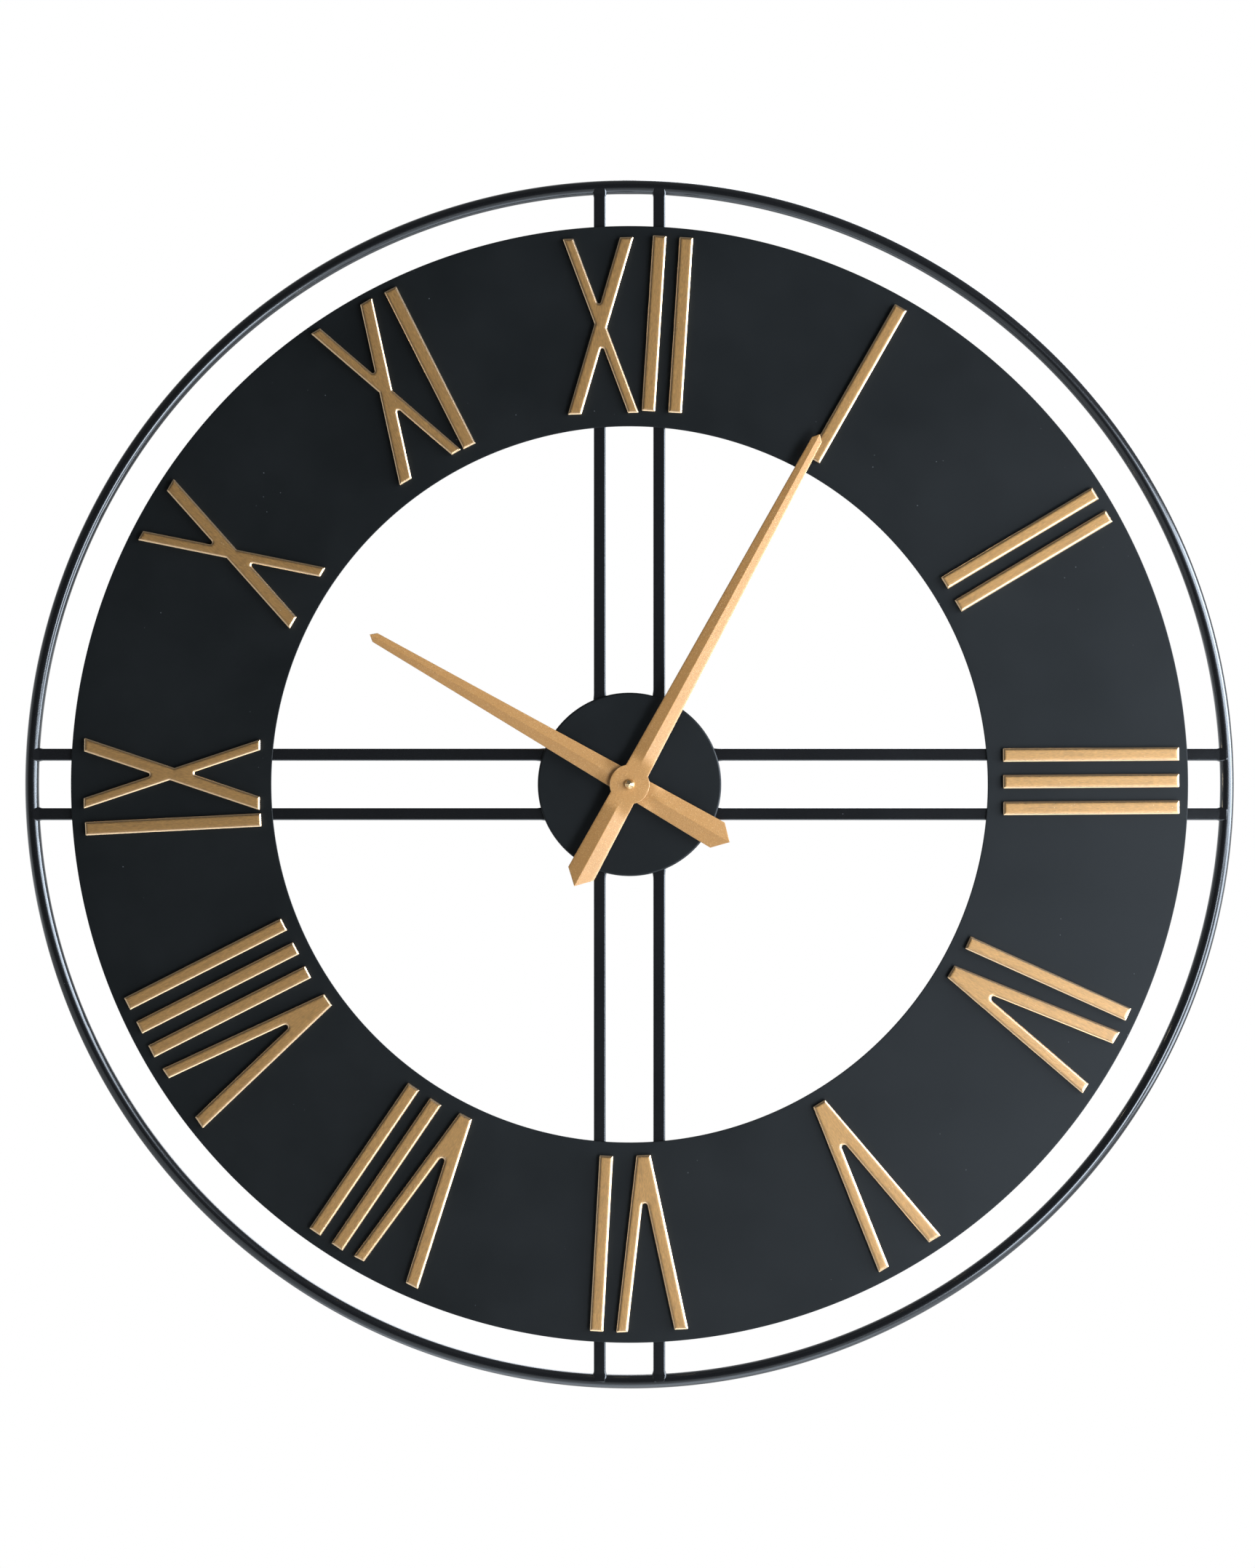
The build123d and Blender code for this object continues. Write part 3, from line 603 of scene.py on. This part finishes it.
def letter_corners(name):
    """The outline's corners, counter-clockwise, with each one's rounding radius."""
    bars, h, tip = LETTER_BARS[name], LETTER_HALF, 0.35

    def at(bar, side, y, radius=tip):
        return (bar_edge(bar, side, y), y, radius)

    if name == "I":
        only = bars[0]
        return [at(only, -1, -h), at(only, 1, -h), at(only, 1, h), at(only, -1, h)]
    if name == "V":
        left, right = bars
        notch = (*crossing(left, 1, right, -1), CROTCH_R["V"])
        return [
            at(left, -1, -h),
            at(right, 1, -h),
            at(right, 1, h),
            at(right, -1, h),
            notch,
            at(left, 1, h),
            at(left, -1, h),
        ]
    rise, fall = bars
    crotch = CROTCH_R["X"]
    return [
        at(rise, -1, -h),
        at(rise, 1, -h),
        (*crossing(rise, 1, fall, -1), crotch),
        at(fall, -1, -h),
        at(fall, 1, -h),
        (*crossing(fall, 1, rise, 1), crotch),
        at(rise, 1, h),
        at(rise, -1, h),
        (*crossing(rise, -1, fall, 1), crotch),
        at(fall, 1, h),
        at(fall, -1, h),
        (*crossing(fall, -1, rise, -1), crotch),
    ]


def letter_outline(name, depth, steps=6):
    """A letter's outline moved inwards by depth, each corner an arc, counter-clockwise."""
    corners = letter_corners(name)
    sharp = inset([Vector((x, y)) for x, y, _ in corners], depth)
    points = []
    count = len(corners)
    for i, here in enumerate(sharp):
        before = (sharp[i - 1] - here).normalized()
        after = (sharp[(i + 1) % count] - here).normalized()
        hollow = before.cross(after) > 0
        radius = max(0.05, corners[i][2] + (depth if hollow else -depth))
        half = before.angle(after) / 2
        reach = radius / tan(half)
        middle = here + (before + after).normalized() * (radius / sin(half))
        start, end = here + before * reach - middle, here + after * reach - middle
        turn = start.angle_signed(end)
        for j in range(steps + 1):
            spot = start.copy()
            spot.rotate(Matrix.Rotation(-turn * j / steps, 2))
            points.append(middle + spot)
    return points


def inset(points, distance):
    """Moves a counter-clockwise outline inwards by mitring its corners."""
    moved = []
    count = len(points)
    for i, here in enumerate(points):
        before = (here - points[i - 1]).normalized()
        after = (points[(i + 1) % count] - here).normalized()
        normal_a, normal_b = Vector((-before.y, before.x)), Vector((-after.y, after.x))
        middle = (normal_a + normal_b).normalized()
        moved.append(here + middle * (distance / middle.dot(normal_a)))
    return moved


def letter_levels(height):
    """(inset, level, how far it is shoulder) up a letter's side, over its shoulder and its face."""
    steps, first = 9, radians(90 - SHOULDER_TILT)
    size = SHOULDER / cos(first)
    low = height - CROWN - size * (1 - sin(first))
    levels = [(0.0, 0.0, 1.0), (0.0, low, 1.0)]
    for i in range(1, steps + 1):
        t = first + (pi / 2 - first) * i / steps
        depth, level = size * (cos(first) - cos(t)), low + size * (sin(t) - sin(first))
        levels.append((depth, level, 1 - 0.8 * (i / steps) ** 2))
    start, top, _ = levels[-1]
    for i in range(1, 4):
        t = i / 3
        depth, level = start + (FACE_INSET - start) * t, top + (height - top) * (1 - (1 - t) ** 2)
        levels.append((depth, level, 0.0))
    return levels


def letter_mesh(name, label, base, height):
    """A raised letter with a soft rounded shoulder and a barely crowned face."""
    levels = letter_levels(height)
    loops = []
    grain = []
    for depth, level, _ in levels:
        loop = letter_outline(name, depth)
        loops.append([face(p.x, p.y, base + level) for p in loop])
        grain += [(p.y * 0.001, p.x * 0.001) for p in loop]
    mesh = skin(label, loops)
    uv = mesh.uv_layers.new(name="grain")
    shift = random.Random(label).uniform(0, 50)
    for corner in mesh.loops:
        u, v = grain[corner.vertex_index]
        uv.data[corner.index].uv = (u + shift, v + shift * 0.37)
    count = len(loops[0])
    attribute(mesh, "shoulder", [levels[i // count][2] for i in range(count * len(levels))])
    return mesh


def numeral(hour):
    """All letters of one numeral as one piece."""
    node = f"numeral_{hour}"
    _, _, levels = box_mm(node)
    base, height = levels[0], levels[1] - levels[0]
    meshes = []
    for letters, bearing, lean, further in NUMERALS[hour]:
        angle = radians(bearing)
        place = face((NUMERAL_R + further) * sin(angle), (NUMERAL_R + further) * cos(angle), 0)
        for index, name in enumerate(letters):
            across = (index - (len(letters) - 1) / 2) * LETTER_PITCH
            mesh = letter_mesh(name, f"{node}_{index}_{name}_{bearing}", base, height)
            mesh.transform(Matrix.Translation(face(across, 0, 0)))
            mesh.transform(Matrix.Translation(place) @ turned(bearing + lean))
            meshes.append(mesh)
    whole = join(f"{node}_letters", meshes)
    piece(f"{node}_letters", whole, ROOT, GOLD, [node], sharp=40)


def join(name, meshes):
    """Joins meshes into one, with their UVs and attributes."""
    objects = [bpy.data.objects.new(m.name, m) for m in meshes]
    for obj in objects:
        bpy.context.scene.collection.objects.link(obj)
    if len(objects) > 1:
        with bpy.context.temp_override(active_object=objects[0], selected_editable_objects=objects):
            bpy.ops.object.join()
    mesh = objects[0].data
    bpy.data.objects.remove(objects[0])
    mesh.name = name
    return mesh


# ---------------------------------------------------------------- hands
TAIL_REACH, TAIL_WIDTH = 57.2, 14.4
TAIL_POINT, TIP_POINT = 7.0, 3.0  # how long each pointed end is
HAND_SHEET, FOLD_SLOPE = 0.6, 0.17
BOSS_R, BOSS_FACE = 9.8, 1.3
FADE_END = 17.5  # how far from the arbor the fold starts to be whole
RIDGE_SHARES = (0, 0.04, 0.15, 0.3, 0.5, 0.7, 0.86, 1)
THINNEST = 0.05  # half a pointed end's width at its very tip


def hand(node, label, reach, tip_width, bearing, hole, body):
    """A folded blade that fades into its flat round boss, made as one bent sheet."""
    back = box_mm(node)[2][0]
    tail, tip = TAIL_POINT - TAIL_REACH, reach - TIP_POINT
    narrowing = (TAIL_WIDTH - tip_width) / 2 / (tip - tail)

    def blade_half(y):
        return TAIL_WIDTH / 2 - narrowing * (y - tail)

    def half_width(y):
        if y < tail:
            return max(THINNEST, blade_half(tail) * (y + TAIL_REACH) / TAIL_POINT)
        if y > tip:
            return max(THINNEST, blade_half(tip) * (reach - y) / TIP_POINT)
        disc = sqrt(BOSS_R**2 - y * y) if abs(y) < BOSS_R else 0.0
        return max(blade_half(y), disc)

    def front(x, y):
        ridge = HAND_SHEET + FOLD_SLOPE * max(0.0, blade_half(y) - abs(x))
        return BOSS_FACE + (ridge - BOSS_FACE) * smooth(BOSS_R, FADE_END, abs(y))

    # the boss's disc meets the blade's edges near 7 mm from the arbor
    low, high = (sqrt(BOSS_R**2 - blade_half(side * 7) ** 2) * side for side in (-1, 1))
    plain, run = 26, 16
    stations = [-TAIL_REACH, -TAIL_REACH + 0.2]
    stations += [-TAIL_REACH + TAIL_POINT * i / 6 for i in range(1, 7)]
    stations += [tail + (-plain - tail) * i / 6 for i in range(1, 7)]
    stations += [-plain + run * i / 14 for i in range(1, 14)]
    stations += [low - 0.6] + [low + (high - low) * i / 36 for i in range(37)] + [high + 0.6]
    stations += [plain - run * i / 14 for i in range(1, 14)]
    stations += [plain + (tip - plain) * i / 30 for i in range(31)]
    stations += [tip + TIP_POINT * i / 5 for i in range(1, 5)] + [reach - 0.1, reach]
    stations = sorted(set(round(y, 4) for y in stations))
    shares = [-share for share in RIDGE_SHARES[:0:-1]] + list(RIDGE_SHARES)
    lip, ease, burr = 0.13, 0.02, 0.05
    loops = []
    for y in stations:
        wide = half_width(y)
        rim_cut = min(lip, wide * 0.3)
        inner = wide - rim_cut
        upper = [(-wide, front(wide, y) - lip)]
        upper += [(s * inner, front(s * inner, y) - ease * (abs(s) == 1)) for s in shares]
        upper += [(wide, front(wide, y) - lip)]
        lower = [(x, front(x, y) - HAND_SHEET) for x, _ in upper]
        lower[0] = (-wide, front(wide, y) - HAND_SHEET + burr)
        lower[-1] = (wide, front(wide, y) - HAND_SHEET + burr)
        loops.append([face(x, y, back + out) for x, out in upper + lower[::-1]])
    mesh = skin(label, loops)
    mesh.transform(turned(bearing))
    obj = piece(label, mesh, body, HAND_GOLD, [node], sharp=40, weighted=False)
    drill(obj, hole, back)


def drill(obj, radius, level):
    """Cuts the round hole for the bush."""
    low, high, core = level - 3, level + 6, 0.001
    profile = [(core, low), (radius, low), (radius, high), (core, high)]
    cutter = bpy.data.objects.new("cutter", lathe("cutter", profile, 48))
    bpy.context.scene.collection.objects.link(cutter)
    cut = obj.modifiers.new("hole", "BOOLEAN")
    cut.operation, cut.object, cut.solver = "DIFFERENCE", cutter, "EXACT"
    bpy.context.view_layer.update()
    graph = bpy.context.evaluated_depsgraph_get()
    holed = bpy.data.meshes.new_from_object(obj.evaluated_get(graph))
    obj.modifiers.clear()
    obj.data = holed
    bpy.data.objects.remove(cutter)
    normals = obj.modifiers.new("normals", "WEIGHTED_NORMAL")
    normals.keep_sharp = True


def cap():
    """The turned cap nut: a short skirt and a cone with a small rounded end."""
    _, _, (base, top) = box_mm("cap_nut")
    bore, bore_end, core = 1.5, base + 1.8, 0.01
    profile = [(bore, base), (2.30, base), (2.42, base + 0.12), (2.45, base + 0.3)]
    profile += [(2.45, base + 1.05), (2.43, base + 1.16), (2.36, base + 1.27)]
    profile += [(0.46, base + 3.16), (0.30, base + 3.29)]
    profile += [(0.15, top - 0.025), (core, top), (core, bore_end), (bore, bore_end)]
    mesh = lathe("cap_nut_turned", profile, 96)
    piece("cap_nut_turned", mesh, "minute_hand_set", BRASS, ["cap_nut"], sharp=30)


# ---------------------------------------------------------------- movement
def cell():
    """The battery: plated ends and a plain sleeve with rolled shoulders."""
    (x0, x1), (z0, z1), (low, high) = box_mm("battery")
    radius, z, level = (high - low) / 2, (z0 + z1) / 2, (low + high) / 2
    body_end, core = x1 - 1.0, 0.01
    sleeve = radius - 0.03
    profile = [(core, x0), (sleeve - 2.2, x0), (sleeve - 2.0, x0 + 0.25), (sleeve - 1.0, x0 + 0.2)]
    profile += [(sleeve - 0.6, x0 + 0.05), (sleeve - 0.25, x0 + 0.15), (sleeve, x0 + 0.55)]
    profile += [(sleeve, x0 + 1.2), (sleeve, body_end - 1.2), (sleeve, body_end - 0.6)]
    profile += [(sleeve - 0.3, body_end - 0.12), (sleeve - 0.8, body_end)]
    profile += [(sleeve - 1.3, body_end - 0.08), (sleeve - 1.5, body_end - 0.3)]
    profile += [(3.2, body_end - 0.3), (2.85, body_end - 0.2), (2.75, body_end), (2.75, x1 - 0.35)]
    profile += [(2.5, x1 - 0.05), (2.2, x1), (core, x1)]
    turns = [2 * pi * i / 72 for i in range(72)]
    loops = [[face(x, z + r * sin(t), level + r * cos(t)) for t in turns] for r, x in profile]
    mesh = skin("battery_cell", loops)
    piece("battery_cell", mesh, "battery_body", SLEEVE, ["battery"], sharp=40)
    mesh.materials.append(STEEL)
    for polygon in mesh.polygons:
        x = polygon.center.x * 1000
        if x < x0 + 0.4 or x > body_end - 0.5 or len(polygon.vertices) > 4:
            polygon.material_index = 1


CAD_FINISH = {
    "rubber": (RUBBER, ["rubber_gasket"]),
    "brass": (
        BRASS,
        ["dial_washer", "fixing_nut", "minute_hand_bush", "hour_hand_bush", "minute_arbor"],
    ),
    "black_plastic": (CASE_BLACK, ["front_case", "rear_cover", "coil_bobbin"]),
    "white_plastic": (
        WHITE,
        [
            "train_bridge",
            "motion_wheel",
            "hour_wheel",
            "setting_knob",
            "centre_wheel",
            "third_wheel",
            "fourth_wheel",
            "fifth_wheel",
            "rotor_pinion",
        ],
    ),
    "steel": (STEEL, ["stator", "contact_positive", "contact_negative", "quartz_crystal"]),
    "magnet": (MAGNET, ["rotor_magnet"]),
    "copper": (COPPER, ["coil_winding"]),
    "board": (BOARD, ["circuit_board"]),
    "epoxy": (EPOXY, ["driver_chip"]),
}
SOFT_EDGES = {
    "front_case": 0.35,
    "rear_cover": 0.3,
    "setting_knob": 0.12,
    "fixing_nut": 0.2,
    "rubber_gasket": 0.15,
}


def finish_cad_nodes():
    """Gives the movement's own solids their materials, and slightly rounded moulded edges."""
    for material, names in CAD_FINISH.values():
        for name in names:
            obj = NODES[name]
            obj.data.materials.clear()
            obj.data.materials.append(material)
            if name in SOFT_EDGES:
                weld = obj.modifiers.new("weld", "WELD")
                weld.merge_threshold = 0.000005
                bevel = obj.modifiers.new("edges", "BEVEL")
                bevel.width, bevel.segments = SOFT_EDGES[name] * 0.001, 2
                bevel.limit_method, bevel.angle_limit = "ANGLE", radians(50)
                bevel.harden_normals = False


# ---------------------------------------------------------------- stage
# Lengths from here on are metres.
FLOOR_HALF, FLOOR_Z = 6.0, -1.6


def floor():
    mesh = bpy.data.meshes.new("floor")
    signs = ((-1, -1), (1, -1), (1, 1), (-1, 1))
    corners = [(x * FLOOR_HALF, y * FLOOR_HALF, FLOOR_Z) for x, y in signs]
    mesh.from_pydata(corners, [], [(0, 1, 2, 3)])
    obj = bpy.data.objects.new("floor", mesh)
    bpy.context.scene.collection.objects.link(obj)
    mesh.materials.append(pale_floor())


LIGHT_TINT = (0.93, 0.98, 1.07)


def area(name, place, size, radiance):
    """A rectangular light that faces the clock and that the camera doesn't see."""
    light = bpy.data.lights.new(name, "AREA")
    light.shape, light.size, light.size_y = "RECTANGLE", size[0], size[1]
    light.energy, light.color = radiance * pi * size[0] * size[1], LIGHT_TINT
    obj = bpy.data.objects.new(name, light)
    obj.location = place
    obj.rotation_mode = "QUATERNION"
    obj.rotation_quaternion = (-Vector(place)).to_track_quat("-Z", "Y")
    obj.visible_camera = False
    bpy.context.scene.collection.objects.link(obj)


SOFTBOX_DISTANCE = 1.7
# name, degrees round to the right of the camera, height, size, radiance
SOFTBOXES = (
    ("key_high", 28, 0.30, (0.4, 0.9), 0.8),
    ("key_low", 28, -0.55, (0.4, 0.8), 10.6),
    ("fill_high", 47, 0.30, (0.6, 0.9), 8.2),
    ("side_high", 77, 0.30, (0.95, 0.9), 13.0),
    ("side_low", 77, -0.55, (0.95, 0.8), 8.0),
    ("low", 47, -1.20, (0.8, 0.5), 2.0),
)
# name, place, size, radiance
OTHER_LIGHTS = (
    ("under", (-0.1, -0.1, -1.35), (1.8, 0.7), 0.9),
    ("back", (0.5, 2.0, 0.9), (1.0, 1.0), 4.0),
)


def studio():
    """A world that is white to the camera and a dim room to all else, and the lights.

    The room is dim in front, pale low down at each side, and brighter behind the clock.
    """
    world = bpy.data.worlds.new("studio")
    bpy.context.scene.world = world
    world.use_nodes = True
    tree = world.node_tree
    tree.nodes.clear()

    direction = tree.nodes.new("ShaderNodeTexCoord").outputs["Generated"]
    axes = tree.nodes.new("ShaderNodeSeparateXYZ")
    tree.links.new(direction, axes.inputs[0])

    def ranged(axis, low, high, new_low, new_high):
        node = tree.nodes.new("ShaderNodeMapRange")
        node.interpolation_type = "SMOOTHSTEP"
        tree.links.new(axes.outputs[axis], node.inputs["Value"])
        ends = {"From Min": low, "From Max": high, "To Min": new_low, "To Max": new_high}
        for key, value in ends.items():
            node.inputs[key].default_value = value
        return node.outputs[0]

    def combined(operation, a, b):
        node = tree.nodes.new("ShaderNodeMath")
        node.operation = operation
        tree.links.new(a, node.inputs[0])
        tree.links.new(b, node.inputs[1])
        return node.outputs[0]

    def background(color):
        node = tree.nodes.new("ShaderNodeBackground")
        node.inputs["Color"].default_value = (*color, 1)
        return node

    front = ranged("Y", -0.92, -0.30, 0.05, 0.15)
    beside = ranged("Y", -0.50, -0.15, 0.0, 1.0)
    low_down = ranged("Z", -0.2, 0.45, 0.75, 0.0)
    behind = ranged("Y", 0.10, 0.75, 0.0, 0.35)
    sides = combined("MULTIPLY", beside, low_down)
    strength = combined("ADD", combined("ADD", front, sides), behind)
    room = background((0.98, 0.99, 1.0))
    tree.links.new(strength, room.inputs["Strength"])
    white = background((1, 1, 1))
    path = tree.nodes.new("ShaderNodeLightPath")
    choose = tree.nodes.new("ShaderNodeMixShader")
    tree.links.new(path.outputs["Is Camera Ray"], choose.inputs[0])
    tree.links.new(room.outputs[0], choose.inputs[1])
    tree.links.new(white.outputs[0], choose.inputs[2])
    output = tree.nodes.new("ShaderNodeOutputWorld")
    tree.links.new(choose.outputs[0], output.inputs[0])
    for name, azimuth, z, size, radiance in SOFTBOXES:
        turn = radians(azimuth)
        place = (SOFTBOX_DISTANCE * sin(turn), -SOFTBOX_DISTANCE * cos(turn), z)
        area(name, place, size, radiance)
    for light in OTHER_LIGHTS:
        area(*light)


DISTANCE = 2.4
CAMERA_X, CAMERA_Z = -0.0010, 0.0002
VIEW_WIDTH = 0.6229  # at the rod's level
SENSOR = 36
IMAGE = (1725, 2156)


def camera():
    data = bpy.data.cameras.new("camera")
    data.sensor_width = SENSOR
    data.lens = SENSOR * DISTANCE / (VIEW_WIDTH * IMAGE[1] / IMAGE[0])
    data.clip_start, data.clip_end = 0.05, 50
    obj = bpy.data.objects.new("camera", data)
    obj.location = (CAMERA_X, -0.001 * RIM_LEVEL - DISTANCE, CAMERA_Z)
    obj.rotation_euler = (radians(90), 0, 0)
    bpy.context.scene.collection.objects.link(obj)
    bpy.context.scene.camera = obj
    bpy.context.scene.view_settings.view_transform = "Standard"


camera()
studio()
floor()
rim()
hub()
dial()
for index, (name, bearing, side) in enumerate(SPOKES):
    spoke(name, bearing, side, index + 1)
for hour in NUMERALS:
    numeral(hour)
hand("minute_hand", "minute_hand_blade", 196.8, 5.5, 28.5, 2.3, "minute_hand_set")
hand("hour_hand", "hour_hand_blade", 148.3, 5.0, 300.0, 3.2, "hour_hand_set")
cap()
cell()
finish_cad_nodes()
